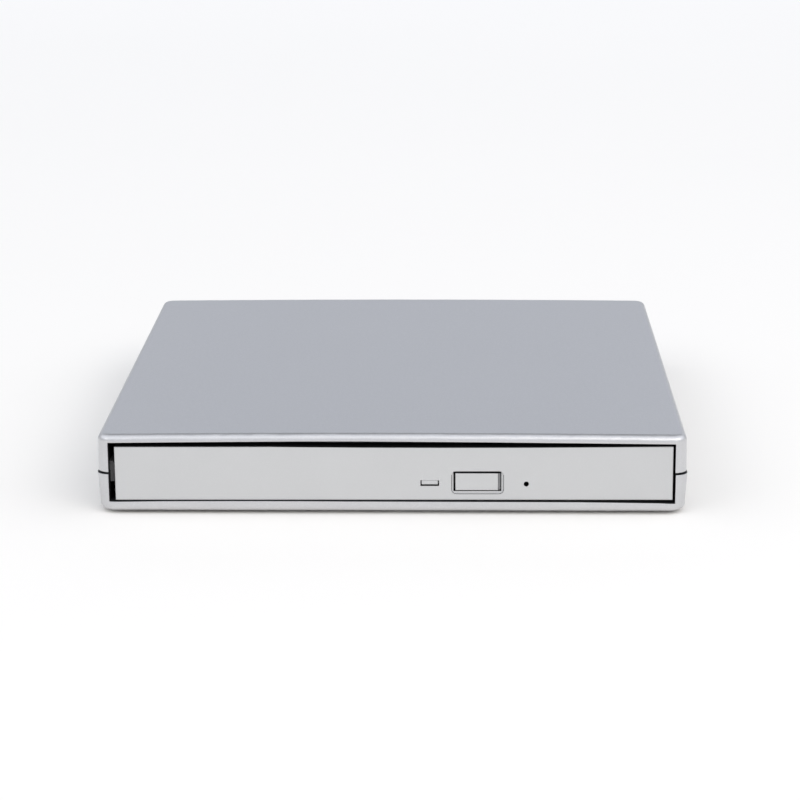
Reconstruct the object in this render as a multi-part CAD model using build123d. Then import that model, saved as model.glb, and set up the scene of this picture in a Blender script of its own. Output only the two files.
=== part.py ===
from build123d import *
import math
import os

# External slim disc drive: a two-half plastic casing round a standard 12.7 mm
# high tray drive.  Millimetres, +Z up, front of the object faces -Y, origin at
# the middle of the footprint on the surface that the rubber feet stand on.

# ------------------------------------------------------------------ casing
CASE_L = 139.6            # front face to back face
CASE_W_TOP = 135.05       # upper half, at the top
CASE_W_MID = 135.3        # upper half, at the seam
CASE_W_SEAM = 135.75      # lower half, at the seam
CASE_W_BOT = 134.95       # lower half, at the underside
CASE_Z0 = 0.8             # underside of the lower half, above the feet
SEAM_LO, SEAM_HI = 9.62, 10.10     # the open groove between the halves
CASE_Z_EDGE = 18.90       # top face at the sides
CROWN = 0.35              # rise of the top face from the sides to the middle
R_CORNER = 3.0            # plan radius of the vertical corners
R_CORNER_BOT = 4.2        # plan radius at the underside
R_TOP = 1.5              # round along the top edges
R_BOT = 1.2               # round along the bottom edges
WALL_IN_X = 65.3          # inner face of the side walls
WALL_IN_Y = 68.0          # inner face of the front and back walls
# the opening's upper and lower edge are bowed and lean a little: (x, z)
OPEN_UPPER = ((-65.02, 17.09), (-44.0, 17.31), (-31.4, 17.43), (-21.0, 17.51), (-9.6, 17.53), (1.8, 17.49),
              (13.2, 17.42), (24.7, 17.33), (43.0, 17.16), (64.87, 16.93))
OPEN_LOWER = ((-65.07, 3.02), (-62.0, 3.05), (-53.0, 3.17), (-36.0, 3.235), (-21.0, 3.24), (-9.6, 3.20),
              (33.9, 3.14), (43.0, 3.12), (52.2, 3.02), (61.3, 2.90), (64.98, 2.74))
CEIL_Z = 17.29            # underside of the roof at the sides
FLOOR_Z = 2.40            # upper face of the floor
LIP_X, LIP_Y = 66.15, 68.85       # outer faces of the seam tongue
LIP_TOP = 11.20

# ------------------------------------------------------------------- drive
DRIVE_X, DRIVE_Y, DRIVE_Z = 0.385, -69.5, 3.52    # bezel's front, bottom, middle
DRIVE_W, DRIVE_H = 128.0, 12.7
BEZEL_TILT, BEZEL_DROP = 0.116, 0.07   # the bezel sits a little askew: degrees, lower at the left
DISC_80_R = 41.0          # shallow step in the well for an 80 mm disc
DISC_80_Z = 7.8
BODY_X = 63.8             # half width of the steel drive body
STEEL = 0.4
BODY_FRONT, BODY_BACK = 4.6, 128.3
TRAVEL = 122.0            # full travel of the tray
SPIN_Y = 66.0             # disc centre, behind the bezel's front face
WELL_R = 60.8             # disc well in the tray
WELL_Z = 8.0              # floor of the disc well
RIM_Z = 10.8              # top of the tray's rim
DISC_Z = 9.2              # underside of a clamped disc
HUB_R = 7.40              # centring hub, for a 15 mm disc hole
LENS_IN = 23.5            # lens to disc centre with the pickup home
LENS_TRAVEL = 34.5
ROD_V, ROD_Z, ROD_R = 13.0, 4.7, 1.0
SCREW_V, SCREW_Z, SCREW_R = 18.6, 4.7, 1.25
RUN = 0.03                # running clearance, radial

# controls on the bezel, from its middle and its bottom edge
BTN = (13.78, 24.78, 2.10, 6.85)       # hole for the eject button x0 x1 z0 z1
BTN_SUR = (13.35, 25.30, 1.50, 6.95)   # dished surround
LED = (6.22, 10.50, 3.42, 4.78)        # window of the activity light
PIN_X, PIN_Z, PIN_R = 30.49, 3.88, 0.6

os.makedirs("parts", exist_ok=True)
NODES = {}


def bx(x0, x1, y0, y1, z0, z1):
    return Pos((x0 + x1) / 2, (y0 + y1) / 2, (z0 + z1) / 2) * Box(x1 - x0, y1 - y0, z1 - z0)


def cz(x, y, z0, z1, r):
    return Pos(x, y, (z0 + z1) / 2) * Cylinder(r, z1 - z0)


def cy(x, z, y0, y1, r):
    return Pos(x, (y0 + y1) / 2, z) * Rot(90, 0, 0) * Cylinder(r, y1 - y0)


def cx(y, z, x0, x1, r):
    return Pos((x0 + x1) / 2, y, z) * Rot(0, 90, 0) * Cylinder(r, x1 - x0)


def cone(x, y, z0, z1, r0, r1):
    return Pos(x, y, (z0 + z1) / 2) * Cone(r0, r1, z1 - z0)


def rprism(x0, x1, y0, y1, z0, z1, r):
    face = Pos((x0 + x1) / 2, (y0 + y1) / 2, z0) * RectangleRounded(x1 - x0, y1 - y0, r)
    return extrude(face, z1 - z0)


def crowned(hx, z_low, z_edge, rise, y0, y1):
    """Prism along Y whose top is a shallow arc."""
    outline = Polyline((-hx, z_edge), (-hx, z_low), (hx, z_low), (hx, z_edge)) + ThreePointArc(
        (hx, z_edge), (0, z_edge + rise), (-hx, z_edge)
    )
    face = make_face(Plane.XZ * outline)
    body = extrude(face, y1 - y0, dir=(0, 1, 0))
    low = body.bounding_box().min.Y
    return Pos(0, y0 - low, 0) * body


def poly_prism(points, z0, z1):
    face = make_face(Polyline(*points, close=True))
    return Pos(0, 0, z0) * extrude(face, z1 - z0, dir=(0, 0, 1))


def keep(name, shape):
    NODES[name] = shape
    return shape


def drive(shape):
    """From the drive's own frame to the object's."""
    return Pos(DRIVE_X, DRIVE_Y, DRIVE_Z) * shape


TRAVERSE = Pos(0, SPIN_Y, 0) * Rot(0, 0, 225)   # local +X runs from the disc centre to the front left


def group(*shapes):
    return Compound([s for shape in shapes for s in shape.solids()])


# ================================================================== casing
# ---- upper half
half_l = CASE_L / 2
top = crowned(CASE_W_TOP / 2 + 1, SEAM_HI, CASE_Z_EDGE, CROWN, -half_l - 1, half_l + 1)
top &= loft([Pos(0, 0, SEAM_HI) * RectangleRounded(CASE_W_MID, CASE_L, R_CORNER),
             Pos(0, 0, 20.0) * RectangleRounded(CASE_W_TOP, CASE_L, R_CORNER)])
rim_edges = [e for e in top.edges() if e.bounding_box().min.Z > CASE_Z_EDGE - 0.01]
top = fillet(rim_edges, R_TOP)
cavity = crowned(WALL_IN_X + 1, SEAM_HI - 1, CEIL_Z, CROWN, -WALL_IN_Y - 1, WALL_IN_Y + 1)
cavity &= rprism(-WALL_IN_X, WALL_IN_X, -WALL_IN_Y, WALL_IN_Y, 0, 30, 1.6)
top -= cavity
(u0, v0), (u1, v1) = OPEN_UPPER[0], OPEN_UPPER[-1]
mouth = Spline(*OPEN_UPPER) + Polyline((u1, v1), (u1, SEAM_HI - 1), (u0, SEAM_HI - 1), (u0, v0))
mouth = extrude(make_face(Plane.XZ * mouth), half_l + 1 - WALL_IN_Y + 2.5, dir=(0, 1, 0))
top -= Pos(0, -half_l - 1 - mouth.bounding_box().min.Y, 0) * mouth
top -= rprism(-LIP_X - 0.08, LIP_X + 0.08, -LIP_Y - 0.08, LIP_Y + 0.08, SEAM_HI - 1, LIP_TOP + 0.12, 2.0)
# screw bosses at the back, cross ribs and pad strips on the roof
for sx in (-1, 1):
    top += cz(sx * 60.6, 63.4, SEAM_LO + 0.16, CEIL_Z + 0.9, 2.9)
    top -= cz(sx * 60.6, 63.4, SEAM_LO, 16.2, 0.95)
top += bx(-57.5, 57.5, 60.6, 61.6, 13.6, CEIL_Z + 0.9)
# catches that hook under the clips of the lower half
for sx in (-1, 1):
    top += bx(*sorted((sx * 64.95, sx * 65.35)), -47.5, -41.5, 13.4, 14.0)
    top += bx(*sorted((sx * 64.95, sx * 65.35)), 30.0, 36.0, 13.4, 14.0)
keep("top_shell", top)

# ---- lower half
low_face = Pos(0, 0, CASE_Z0) * RectangleRounded(CASE_W_BOT, CASE_L, R_CORNER_BOT)
seam_face = Pos(0, 0, SEAM_LO) * RectangleRounded(CASE_W_SEAM, CASE_L, R_CORNER)
bottom = loft([low_face, seam_face])
bot_edges = [e for e in bottom.edges() if e.bounding_box().max.Z < CASE_Z0 + 0.01]
bottom = fillet(bot_edges, R_BOT)
bottom -= rprism(-WALL_IN_X, WALL_IN_X, -WALL_IN_Y, WALL_IN_Y, FLOOR_Z, 30, 3.4)
tongue = rprism(-LIP_X, LIP_X, -LIP_Y, LIP_Y, SEAM_LO - 0.6, LIP_TOP, 1.9)
tongue -= rprism(-WALL_IN_X, WALL_IN_X, -WALL_IN_Y, WALL_IN_Y, SEAM_LO - 1, 30, 1.6)
bottom += tongue
(u0, v0), (u1, v1) = OPEN_LOWER[0], OPEN_LOWER[-1]
low_cut = make_face(Plane.XZ * Polyline((u0, 30), *OPEN_LOWER, (u1, 30), close=True))
low_cut = extrude(low_cut, half_l + 1 - WALL_IN_Y + 3.6, dir=(0, 1, 0))
bottom -= Pos(0, -half_l - 1 - low_cut.bounding_box().min.Y, 0) * low_cut
# ribs that carry the drive, and bosses for the casing screws
for y in (-55.0, -20.0, 18.0, 50.0):
    bottom += bx(-62.0, 62.5, y - 0.7, y + 0.7, FLOOR_Z - 0.02, DRIVE_Z)
for x in (-45.0, 0.0, 45.0):
    bottom += bx(x - 0.7, x + 0.7, -64.0, 56.0, FLOOR_Z - 0.02, DRIVE_Z - 0.25)
for sx in (-1, 1):
    bottom += cz(sx * 60.6, 63.4, FLOOR_Z - 0.02, SEAM_LO + 0.12, 2.9)
# side clips; the left front one shows through the gap beside the bezel
CLIP_T = 0.75
for sx in (-1, 1):
    for y0, y1 in ((-66.3, -60.2), (-48.0, -41.0), (29.5, 36.5)):
        x0, x1 = sorted((sx * (WALL_IN_X + 0.02), sx * (WALL_IN_X - CLIP_T)))
        if sx > 0 and y0 < -60:
            continue
        if y0 < -60:
            # this one is thicker and lower, with its upper inner corner cut off
            clip = make_face(Plane.XZ * Polyline(
                (-WALL_IN_X - 0.02, 6.85), (-64.1, 6.85), (-64.1, 11.35), (-64.5, 11.85), (-WALL_IN_X + 0.06, 11.85),
                (-WALL_IN_X + 0.06, LIP_TOP - 0.1), (-WALL_IN_X - 0.02, LIP_TOP - 0.1), close=True))
            clip = extrude(clip, y1 - y0, dir=(0, 1, 0))
            bottom += Pos(0, y0 - clip.bounding_box().min.Y, 0) * clip
            continue
        bottom += bx(x0, x1, y0, y1, 7.8, LIP_TOP - 0.1)
        x0, x1 = sorted((sx * (WALL_IN_X - 0.06), sx * (WALL_IN_X - CLIP_T)))
        bottom += bx(x0, x1, y0, y1, 10.0, 13.2)
# bosses under the circuit board behind the drive
for x in (-44.0, 8.0, 52.0):
    bottom += bx(x - 2.0, x + 2.0, 60.0, 67.4, FLOOR_Z - 0.02, 3.92)
# outlets in the back wall
USB_X, USB_W, USB_H = -20.0, 7.7, 4.0
USB_Z = DRIVE_Z + 1.4
JACK_X, JACK_Z = -36.0, 7.05
bottom -= bx(USB_X - 4.1, USB_X + 4.1, 67, 71, USB_Z - 0.25, USB_Z + USB_H + 0.25)
bottom -= cy(JACK_X, JACK_Z, 67, 71, 2.55)
# seats for the feet and for the casing screws
FEET = [(-56.0, -58.0), (56.0, -58.0), (-56.0, 52.0), (56.0, 52.0)]
for x, y in FEET:
    bottom -= cz(x, y, 0, CASE_Z0 + 0.4, 4.3)
for sx in (-1, 1):
    bottom -= cz(sx * 60.6, 63.4, 0, 2.6, 2.3)
    bottom -= cz(sx * 60.6, 63.4, 0, SEAM_LO + 1, 1.25)
keep("bottom_shell", bottom)

feet = []
for x, y in FEET:
    foot = cz(x, y, 0, CASE_Z0 + 0.4, 4.2)
    foot = fillet(foot.edges().sort_by(Axis.Z)[0], 0.5)
    feet.append(foot)
keep("rubber_feet", group(*feet))


def screw_up(x, y, z_head, head_r, head_h, r, length):
    """Pan-head screw driven upwards, with a cross recess in its head."""
    s = cz(x, y, z_head, z_head + head_h, head_r) + cz(x, y, z_head + head_h, z_head + head_h + length, r)
    s -= bx(x - head_r * 0.55, x + head_r * 0.55, y - 0.16, y + 0.16, z_head - 1, z_head + head_h * 0.5)
    s -= bx(x - 0.16, x + 0.16, y - head_r * 0.55, y + head_r * 0.55, z_head - 1, z_head + head_h * 0.5)
    return s


keep("casing_screws", group(*[screw_up(sx * 60.6, 63.4, 1.45, 2.1, 1.15, 0.92, 11.5) for sx in (-1, 1)]))

# foam strips between the roof and the drive
pads = []
for sx in (-1, 1):
    pads.append(bx(*sorted((sx * 38.0, sx * 50.0)), -50.0, 44.0, DRIVE_Z + DRIVE_H + 0.02, CEIL_Z - 0.02))
keep("foam_strips", group(*pads))

# ---- bridge board with its sockets, behind the drive
board = bx(-46.0, 57.0, 129.0, 137.1, 0.4, 1.4)
board -= bx(-46.1, -44.0, 129, 132, 0, 2)
keep("bridge_board", drive(board))
chips = [
    bx(-6.0, 1.0, 129.8, 136.4, 1.4, 2.6),
    bx(3.2, 6.4, 130.0, 133.2, 1.4, 2.5),
    bx(3.2, 6.8, 134.2, 135.9, 1.4, 2.8),
    cz(9.6, 133.0, 1.4, 5.2, 1.6),
    bx(-11.4, -8.6, 130.0, 131.6, 1.4, 2.4),
    bx(-11.4, -8.6, 133.4, 135.0, 1.4, 2.4),
]
keep("bridge_chips", drive(group(*chips)))
dx, dy = USB_X - DRIVE_X, -DRIVE_Y
usb = bx(dx - USB_W / 2, dx + USB_W / 2, 130.2, 139.15, 1.4, 1.4 + USB_H)
usb = fillet(usb.edges().filter_by(Axis.Y), 0.45)
usb -= bx(dx - USB_W / 2 + 0.35, dx + USB_W / 2 - 0.35, 130.6, 140, 1.75, 1.4 + USB_H - 0.35)
# the lower sides step in, as on a mini plug's shell
usb += bx(dx - USB_W / 2 + 0.3, dx - USB_W / 2 + 0.9, 130.4, 139.15, 1.7, 2.4)
usb += bx(dx + USB_W / 2 - 0.9, dx + USB_W / 2 - 0.3, 130.4, 139.15, 1.7, 2.4)
keep("usb_socket_shell", drive(usb))
insert = bx(dx - 2.6, dx + 2.6, 130.65, 132.4, 1.77, 5.0)
insert += bx(dx - 1.9, dx + 1.9, 132.3, 138.4, 2.65, 3.55)
keep("usb_socket_insert", drive(insert))
jx, jz = JACK_X - DRIVE_X, JACK_Z - DRIVE_Z
jack = bx(jx - 3.1, jx + 3.1, 129.6, 137.3, 1.4, 6.0)
jack += cy(jx, jz, 137.2, 139.0, 2.45)
jack -= cy(jx, jz, 131.0, 140.0, 1.8)
jack += cy(jx, jz, 130.9, 138.2, 0.5)
keep("power_jack", drive(jack))
sock = bx(17.0, 55.0, 129.0, 133.6, 1.4, 6.2)
sock -= bx(19.0, 53.0, 128.0, 131.4, 2.9, 5.0)
keep("drive_socket", drive(sock))

# ================================================================== drive
# ---- steel pan
pan = bx(-BODY_X + STEEL, BODY_X - STEEL, BODY_FRONT + 0.4, BODY_BACK - STEEL, 0, 0.5)
for sx in (-1, 1):
    pan += bx(*sorted((sx * (BODY_X - 2 * STEEL), sx * (BODY_X - STEEL))), BODY_FRONT + 0.6, BODY_BACK - STEEL, 0, 7.0)
pan += bx(-BODY_X + STEEL, BODY_X - STEEL, BODY_BACK - 2 * STEEL, BODY_BACK - STEEL, 0, 7.0)
pan -= bx(13.5, 57.5, 126, 129, 1.0, 6.6)          # room for the connector
pan -= bx(-44.5, -35.5, 126, 129, 1.5, 6.9)        # seat of the ejector
pan += bx(-44.5, -35.5, BODY_BACK - 2 * STEEL, BODY_BACK - STEEL, 1.5, 6.9)
pan += cz(36.0, 22.0, 0.4, 1.35, 1.1)                # the latch hooks behind this post
pan += cz(16.5, 125.8, 0.4, 1.1, 1.0) + cz(55.0, 125.8, 0.4, 1.1, 1.0)
# shallow pressed ribs
for x in (-30.0, 4.0):
    pan += rprism(x - 4.0, x + 4.0, 30.0, 100.0, 0.45, 0.62, 3.9)
keep("drive_pan", drive(pan))

# ---- steel lid
lid = bx(-BODY_X, BODY_X, BODY_FRONT, BODY_BACK, DRIVE_H - STEEL - 0.05, DRIVE_H - 0.05)
for sx in (-1, 1):
    lid += bx(*sorted((sx * (BODY_X - STEEL), sx * BODY_X)), BODY_FRONT, BODY_BACK, 2.2, DRIVE_H - 0.05)
lid += bx(-BODY_X, BODY_X, BODY_BACK - STEEL, BODY_BACK, 7.4, DRIVE_H - 0.05)
lid -= bx(13.0, 58.0, 127, 130, 7.0, 7.6)
keep("drive_lid", drive(lid))

lid_screws = []
for sx in (-1, 1):
    for y in (18.0, 108.0):
        s = cx(y, 4.6, *sorted((sx * (BODY_X - 2 * STEEL - 0.5), sx * BODY_X)), 0.7)
        s += cx(y, 4.6, *sorted((sx * BODY_X, sx * (BODY_X + 0.35))), 1.5)
        lid_screws.append(s)
for x in (-58.0, 0.0):
    s = cy(x, 9.6, BODY_BACK - STEEL - 0.4, BODY_BACK, 0.7) + cy(x, 9.6, BODY_BACK, BODY_BACK + 0.35, 1.5)
    lid_screws.append(s)
holes = group(*[cx(y, 4.6, *sorted((sx * 60.0, sx * 65)), 0.72) for sx in (-1, 1) for y in (18.0, 108.0)])
for name in ("drive_pan", "drive_lid"):
    NODES[name] = NODES[name] - drive(holes)
back_holes = group(*[cy(x, 9.6, 127, 130, 0.72) for x in (-58.0, 0.0)])
NODES["drive_lid"] = NODES["drive_lid"] - drive(back_holes)
keep("lid_screws", drive(group(*lid_screws)))

# ---- guides, riveted to the pan's sides, that the steel rails run in
guides = []
for sx in (-1, 1):
    g = bx(*sorted((sx * 59.6, sx * 63.0)), 8.0, 122.0, 1.6, 6.95)
    g -= bx(*sorted((sx * 59.0, sx * 61.45)), 7.0, 123.0, 2.15, 6.35)
    g -= cx(18.0, 4.6, *sorted((sx * 61.4, sx * 63.2)), 0.9)
    g -= cx(108.0, 4.6, *sorted((sx * 61.4, sx * 63.2)), 0.9)
    guides.append(g)
keep("rail_guides", drive(group(*guides)))
# ---- telescoping rails
for name, sx in (("left_rail", -1), ("right_rail", 1)):
    r = bx(*sorted((sx * 59.7, sx * 61.38)), 8.5, 121.5, 2.22, 6.28)
    r -= bx(*sorted((sx * 59.0, sx * 60.98)), 7.0, 123.0, 2.62, 5.88)
    keep(name, drive(r))

# ---- latch post on the pan, rear connector, ejector
keep("connector_board", drive(bx(14.0, 57.0, 121.4, 127.45, 1.1, 1.9) - bx(30, 34, 121, 122.4, 1, 2)))
plug = bx(18.2, 53.8, 121.8, 128.9, 1.9, 5.9)
plug -= bx(19.4, 52.6, 124.0, 130.0, 2.7, 5.2)
plug += bx(20.4, 51.6, 123.9, 128.7, 3.4, 4.5)
keep("connector_plug", drive(plug))

ej_x, ej_z = -40.0, 4.2
plunger = cy(ej_x, ej_z, 106.5, BODY_BACK - 2 * STEEL, 0.9) + cy(ej_x, ej_z, 105.55, 106.6, 2.1)
keep("eject_plunger", drive(plunger))
turns = []
n_turn, y0, y1 = 9, 107.3, 126.7
for i in range(n_turn):
    y = y0 + (y1 - y0) * i / (n_turn - 1)
    turns.append(Pos(ej_x, y, ej_z) * Rot(90, 0, 0) * Torus(1.55, 0.3))
coil = turns[0]
for t in turns[1:]:
    coil += t
for i in range(n_turn - 1):
    ya = y0 + (y1 - y0) * i / (n_turn - 1)
    yb = y0 + (y1 - y0) * (i + 1) / (n_turn - 1)
    coil += cy(ej_x + (1.55 if i % 2 else -1.55), ej_z, ya, yb, 0.26)
keep("eject_spring", drive(coil))

# ---- flat cable between the connector board and the tray: one fold
flex = bx(-14.0, 10.0, 47.0, 119.5, 0.66, 0.78)
flex += bx(-14.0, 10.0, 47.0, 110.0, 1.16, 1.28)
flex += bx(-14.0, 10.0, 46.9, 47.05, 0.66, 1.28)
flex += bx(-14.0, 10.0, 109.9, 110.02, 1.16, 2.06)
flex += bx(-14.0, 26.0, 119.0, 123.5, 0.66, 0.78)
keep("flat_cable", drive(flex))

# ================================================================== tray
# ---- front bezel
bez = bx(-DRIVE_W / 2, DRIVE_W / 2, 0, 2.0, 0, DRIVE_H)
bez = fillet(bez.faces().sort_by(Axis.Y)[0].edges(), 0.28)
bez += bx(-DRIVE_W / 2, -DRIVE_W / 2 + 1.2, 1.9, 3.9, 0.0, DRIVE_H)
bez += bx(DRIVE_W / 2 - 1.2, DRIVE_W / 2, 1.9, 3.9, 0.0, DRIVE_H)
bez += bx(-DRIVE_W / 2, DRIVE_W / 2, 1.9, 3.9, DRIVE_H - 1.1, DRIVE_H)
bez += bx(-DRIVE_W / 2, DRIVE_W / 2, 1.9, 3.9, 0.0, 0.6)
for x in (-45.0, -8.0, 40.0):
    bez += bx(x, x + 6.0, 1.9, 7.2, 0.66, 1.3)
# dished surround of the button: a shallow pan with sloping walls
x0, x1, z0, z1 = BTN_SUR
sur_out = Plane(origin=((x0 + x1) / 2, -0.001, (z0 + z1) / 2), x_dir=(1, 0, 0), z_dir=(0, -1, 0))
dish_mouth = sur_out * RectangleRounded(x1 - x0, z1 - z0, 1.1)
dish_floor = sur_out.offset(-0.36) * RectangleRounded(x1 - x0 - 0.55, z1 - z0 - 0.55, 0.85)
bez -= loft([dish_mouth, dish_floor])
# a fine groove round the surround, open towards the button's upper edge
groove = sur_out.offset(0.1) * RectangleRounded(x1 - x0 + 0.10, z1 - z0 + 0.16, 1.15)
groove -= sur_out.offset(0.1) * RectangleRounded(x1 - x0 - 0.10, z1 - z0 - 0.14, 1.05)
groove = extrude(groove, 0.42, dir=(0, 1, 0)) & bx(x0 - 1, x1 + 1, -1, 3, z0 - 1, z1 - 0.9)
bez -= groove
x0, x1, z0, z1 = BTN
bez -= bx(x0, x1, -1, 3, z0, z1)
x0, x1, z0, z1 = LED
bez -= bx(x0, x1, -1, 3, z0, z1)
bez -= cy(PIN_X, PIN_Z, -1, 3, PIN_R)
# its upper edge has sunk a little right of the middle
sink = ThreePointArc((-28.0, DRIVE_H), (18.0, DRIVE_H - 0.2), (62.0, DRIVE_H)) + Polyline(
    (62.0, DRIVE_H), (62.0, DRIVE_H + 1), (-28.0, DRIVE_H + 1), (-28.0, DRIVE_H))
sink = extrude(make_face(Plane.XZ * sink), 6.0, dir=(0, 1, 0))
bez -= Pos(0, -1.0 - sink.bounding_box().min.Y, 0) * sink
keep("front_bezel", drive(Pos(0, 0, DRIVE_H / 2 - BEZEL_DROP) * Rot(0, -BEZEL_TILT, 0) * Pos(0, 0, -DRIVE_H / 2) * bez))

# ---- eject button
x0, x1, z0, z1 = BTN
face = bx(x0 + 0.47, x1 - 0.79, 0.05, 1.6, z0 + 0.24, z1 - 0.51)
face = fillet(face.faces().sort_by(Axis.Y)[0].edges(), 0.16)
face += bx(x1 - 1.0, x1 - 0.22, 0.40, 1.6, z0 + 0.30, z1 - 0.55)   # its set-back right shoulder
btn = face + bx(x0 - 0.7, x1 + 0.7, 2.04, 2.5, z0 + 0.4, z1 + 0.5)
btn += bx(x0 + 0.9, x1 - 0.9, 1.5, 2.1, z0 + 0.5, z1 - 0.8)
btn += bx(17.9, 20.7, 2.4, 4.3, 3.6, 5.4)
keep("eject_button", drive(btn))

# ---- tray moulding
tray = bx(-62.8, 62.8, 4.1, 125.0, 7.1, WELL_Z)
tray += bx(-62.8, 62.8, 4.1, 125.0, WELL_Z - 0.02, RIM_Z)
tray -= cz(0, SPIN_Y, WELL_Z, 20, WELL_R)
bowl = cone(0, SPIN_Y, RIM_Z - 0.9, RIM_Z + 0.1, WELL_R - 0.05, WELL_R + 0.95)
tray -= bowl
# the rim stays low at the back, where the disc's edge passes
tray -= bx(-40.0, 40.0, 112.0, 126.0, WELL_Z, 20)
tray -= cz(0, SPIN_Y, DISC_80_Z, 20, DISC_80_R)
# finger scoops at the front corners of the well
tray -= cz(-52.0, 9.5, 9.4, 20, 5.2)
tray -= cz(52.0, 9.5, 9.4, 20, 5.2)
# lower box
tray += bx(-58.8, -57.3, 4.1, 125.0, 1.8, 7.2)
tray += bx(57.3, 58.8, 4.1, 119.0, 1.8, 7.2)
tray += bx(-58.8, 58.8, 4.1, 5.5, 1.8, 7.2)
tray += bx(-58.8, 14.0, 123.5, 125.0, 1.8, 7.2)
tray += bx(12.5, 58.8, 117.6, 119.0, 1.8, 7.2)
tray += bx(12.5, 14.0, 117.6, 125.0, 1.8, 7.2)
for sx in (-1, 1):
    tray += bx(*sorted((sx * 58.7, sx * 60.9)), 9.0, 118.5, 2.68, 5.82)
    tray -= bx(*sorted((sx * 60.0, sx * 62.9)), 4.0, 7.6, 7.0, WELL_Z + 0.4)
# wall that the ejector pushes, with its open slot to the back
tray += bx(-46.0, -34.0, 103.8, 105.4, 1.8, 7.2)
tray -= bx(-43.4, -36.6, 123.0, 126.0, 1.4, 6.9)
# openings through the platform for the turntable, the pickup and the lens
OPEN = TRAVERSE * bx(-13.6, 66.0, -17.0, 17.0, 6.0, WELL_Z + 0.1)
OPEN &= cz(0, SPIN_Y, 5, 9, 57.5)
SEAT = TRAVERSE * rprism(-17.6, 68.0, -18.6, 18.6, WELL_Z - 0.55, WELL_Z + 0.1, 3.0)
SEAT &= cz(0, SPIN_Y, 5, 9, 60.4)
tray -= OPEN
tray -= SEAT
tray -= TRAVERSE * bx(50.0, 60.6, -6.6, 6.6, 6, 8.1)
# windows in the front wall for the button stem, the light pipe and the release pin
tray -= bx(13.0, 25.6, 3.9, 5.7, 2.4, 7.5)
tray -= bx(LED[0] - 0.2, LED[1] + 0.2, 3.9, 5.7, LED[2] - 0.2, LED[3] + 0.2)
tray -= cy(PIN_X, PIN_Z, 3, 6, 0.9)
# bosses for the traverse mounts
MOUNTS = [(-16.6, 0.0), (44.0, -20.5), (44.0, 24.3)]
for u, v in MOUNTS:
    tray += TRAVERSE * cz(u, v, 3.45, 7.2, 2.4)
# the wall is thinner beside the traverse
tray -= bx(-58.1, -57.2, 8.0, 48.0, 1.9, 7.1)
for u, v in MOUNTS:
    tray -= TRAVERSE * cz(u, v, 3.0, 6.2, 0.75)
# pegs for the boards
PEGS = [(52.0, 32.0), (52.0, 112.0), (-44.0, 98.0)]
for x, y in PEGS:
    tray += cz(x, y, 2.95, 7.2, 2.0)
    tray -= cz(x, y, 2.5, 6.0, 0.7)
keep("tray_frame", tray)
NODES["tray_frame"] = drive(tray)

# ---- tray underside plate
under = bx(-58.6, 58.6, 5.0, 123.0, 1.45, 1.75)
under -= bx(12.4, 59.0, 119.0, 124.0, 1, 2)
under -= bx(-46.5, -33.5, 103.0, 124.0, 1, 2)
under -= bx(32.0, 44.5, 17.0, 30.0, 1, 2)                 # window of the latch
under -= TRAVERSE * rprism(14.0, 61.0, -9.0, 9.0, 1, 2, 2.0)
under -= bx(-15.0, 11.0, 107.5, 112.5, 1, 2)
for x, y in ((-54.0, 12.0), (54.0, 10.0), (-54.0, 112.0)):
    under -= cz(x, y, 1, 2, 0.75)
keep("tray_underplate", drive(under))
keep("underplate_screws", drive(group(*[
    cz(x, y, 1.45, 4.4, 0.72) + cz(x, y, 1.05, 1.45, 1.5) for x, y in ((-54.0, 12.0), (54.0, 10.0), (-54.0, 112.0))])))
posts = [cz(x, y, 1.75, 7.1, 1.7) - cz(x, y, 1.7, 4.6, 0.75) for x, y in ((-54.0, 12.0), (54.0, 10.0), (-54.0, 112.0))]
for p_ in posts:
    NODES["tray_frame"] = NODES["tray_frame"] + drive(p_)

# ---- cover plate over the optics, flush with the well
cover = TRAVERSE * rprism(-17.4, 68.0, -18.4, 18.4, WELL_Z - 0.5, WELL_Z, 2.8)
cover &= cz(0, SPIN_Y, 5, 9, 60.2)
cover -= cz(0, SPIN_Y, 5, 9, 15.4)
cover -= TRAVERSE * bx(10.0, 62.0, -6.6, 6.6, 5, 9)
cover -= cz(0, SPIN_Y, DISC_80_Z, 9, DISC_80_R)
COVER_SCREWS = [(-14.2, -14.6, 0.2), (-14.2, 14.6, 0.2), (48.0, -15.2, 0.0), (48.0, 15.2, 0.0)]
for u, v, sunk in COVER_SCREWS:
    cover -= TRAVERSE * cone(u, v, WELL_Z - 0.5 - sunk, WELL_Z - sunk, 0.55, 1.0)
    if sunk:
        NODES["tray_frame"] = NODES["tray_frame"] - drive(TRAVERSE * cz(u, v, 7.25, 7.6, 0.8))
keep("optics_cover", drive(cover))
keep("cover_screws", drive(group(*[
    TRAVERSE * (cone(u, v, WELL_Z - 0.5 - sunk, WELL_Z - 0.04 - sunk, 0.5, 0.92) - bx(u - 0.5, u + 0.5, v - 0.1, v + 0.1, WELL_Z - 0.2 - sunk, WELL_Z + 1))
    for u, v, sunk in COVER_SCREWS])))

# ---- front board: light and push switch behind the bezel
fb = bx(4.0, 28.4, 5.9, 12.0, 2.1, 2.9)
keep("front_board", drive(fb))
keep("push_switch", drive(bx(16.8, 21.8, 6.2, 9.6, 2.9, 5.9) + bx(18.2, 20.4, 5.0, 6.3, 3.8, 5.2)))
keep("status_led", drive(bx(6.9, 9.9, 7.4, 9.0, 2.9, 4.7)))
pipe = bx(LED[0] + 0.26, LED[1] - 0.26, 0.12, 7.2, LED[2] + 0.26, LED[3] - 0.06)
pipe = fillet(pipe.faces().sort_by(Axis.Y)[0].edges(), 0.12)
pipe += bx(LED[0] - 0.1, LED[1] + 0.1, 2.1, 2.6, LED[2] - 0.1, LED[3] + 0.1)
keep("light_pipe", drive(pipe))

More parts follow.
